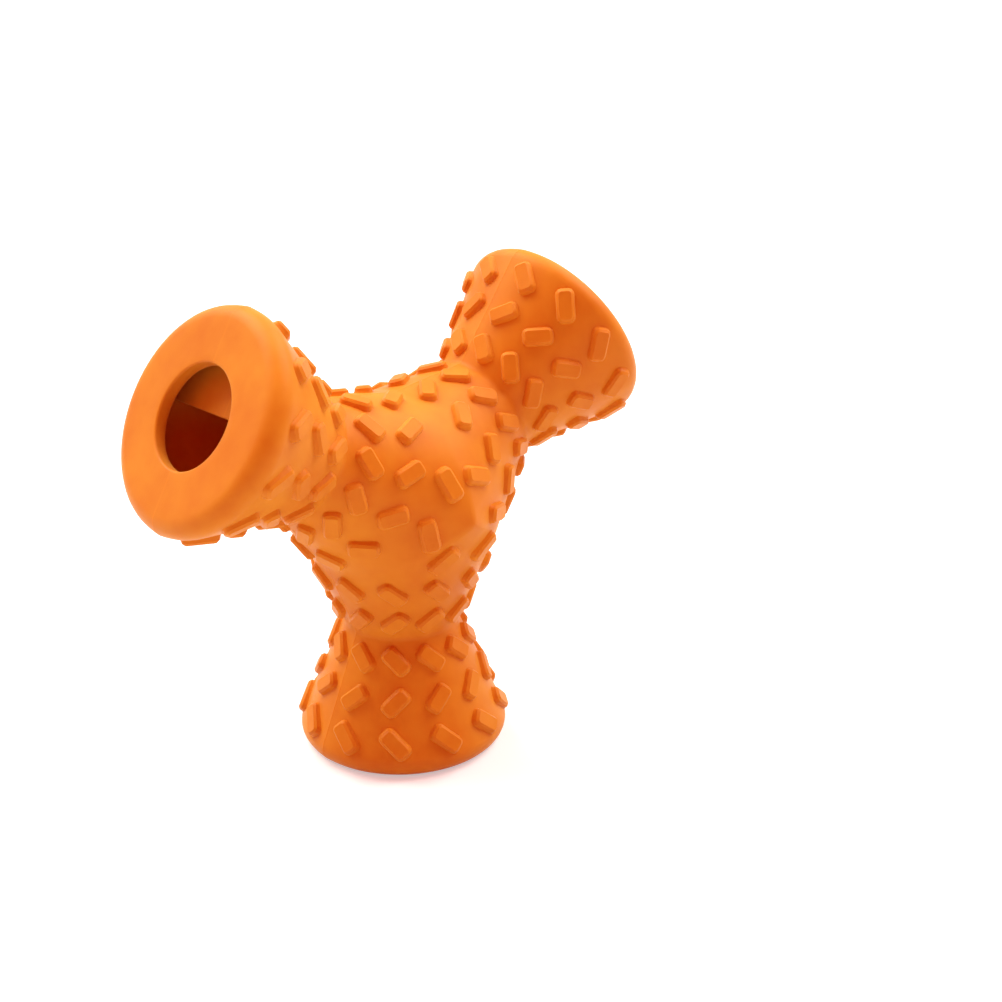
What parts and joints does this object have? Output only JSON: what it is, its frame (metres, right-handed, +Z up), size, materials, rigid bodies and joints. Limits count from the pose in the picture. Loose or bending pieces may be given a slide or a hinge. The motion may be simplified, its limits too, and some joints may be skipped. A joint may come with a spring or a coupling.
{
  "type": "rubber chew toy",
  "caption": "Hollow rubber chew toy with flared, studded arms spread evenly round a hub, an open mouth in each arm end and an inner chamber that holds treats.",
  "frame": {"origin": "on the ground under the hub, at the centre of the lower arm's end face", "axes": "+X across the two upper arms, +Y from front to back through the hub, +Z up along the lower arm"},
  "size_m": [0.1404, 0.0574, 0.1226],
  "materials": {
    "orange_rubber": "satin",
    "rubber_cement": "satin"
  },
  "bodies": {
    "root": {"front_half_shell": "orange_rubber", "rear_half_shell": "orange_rubber", "bond_seam": "rubber_cement"}
  },
  "joints": []
}
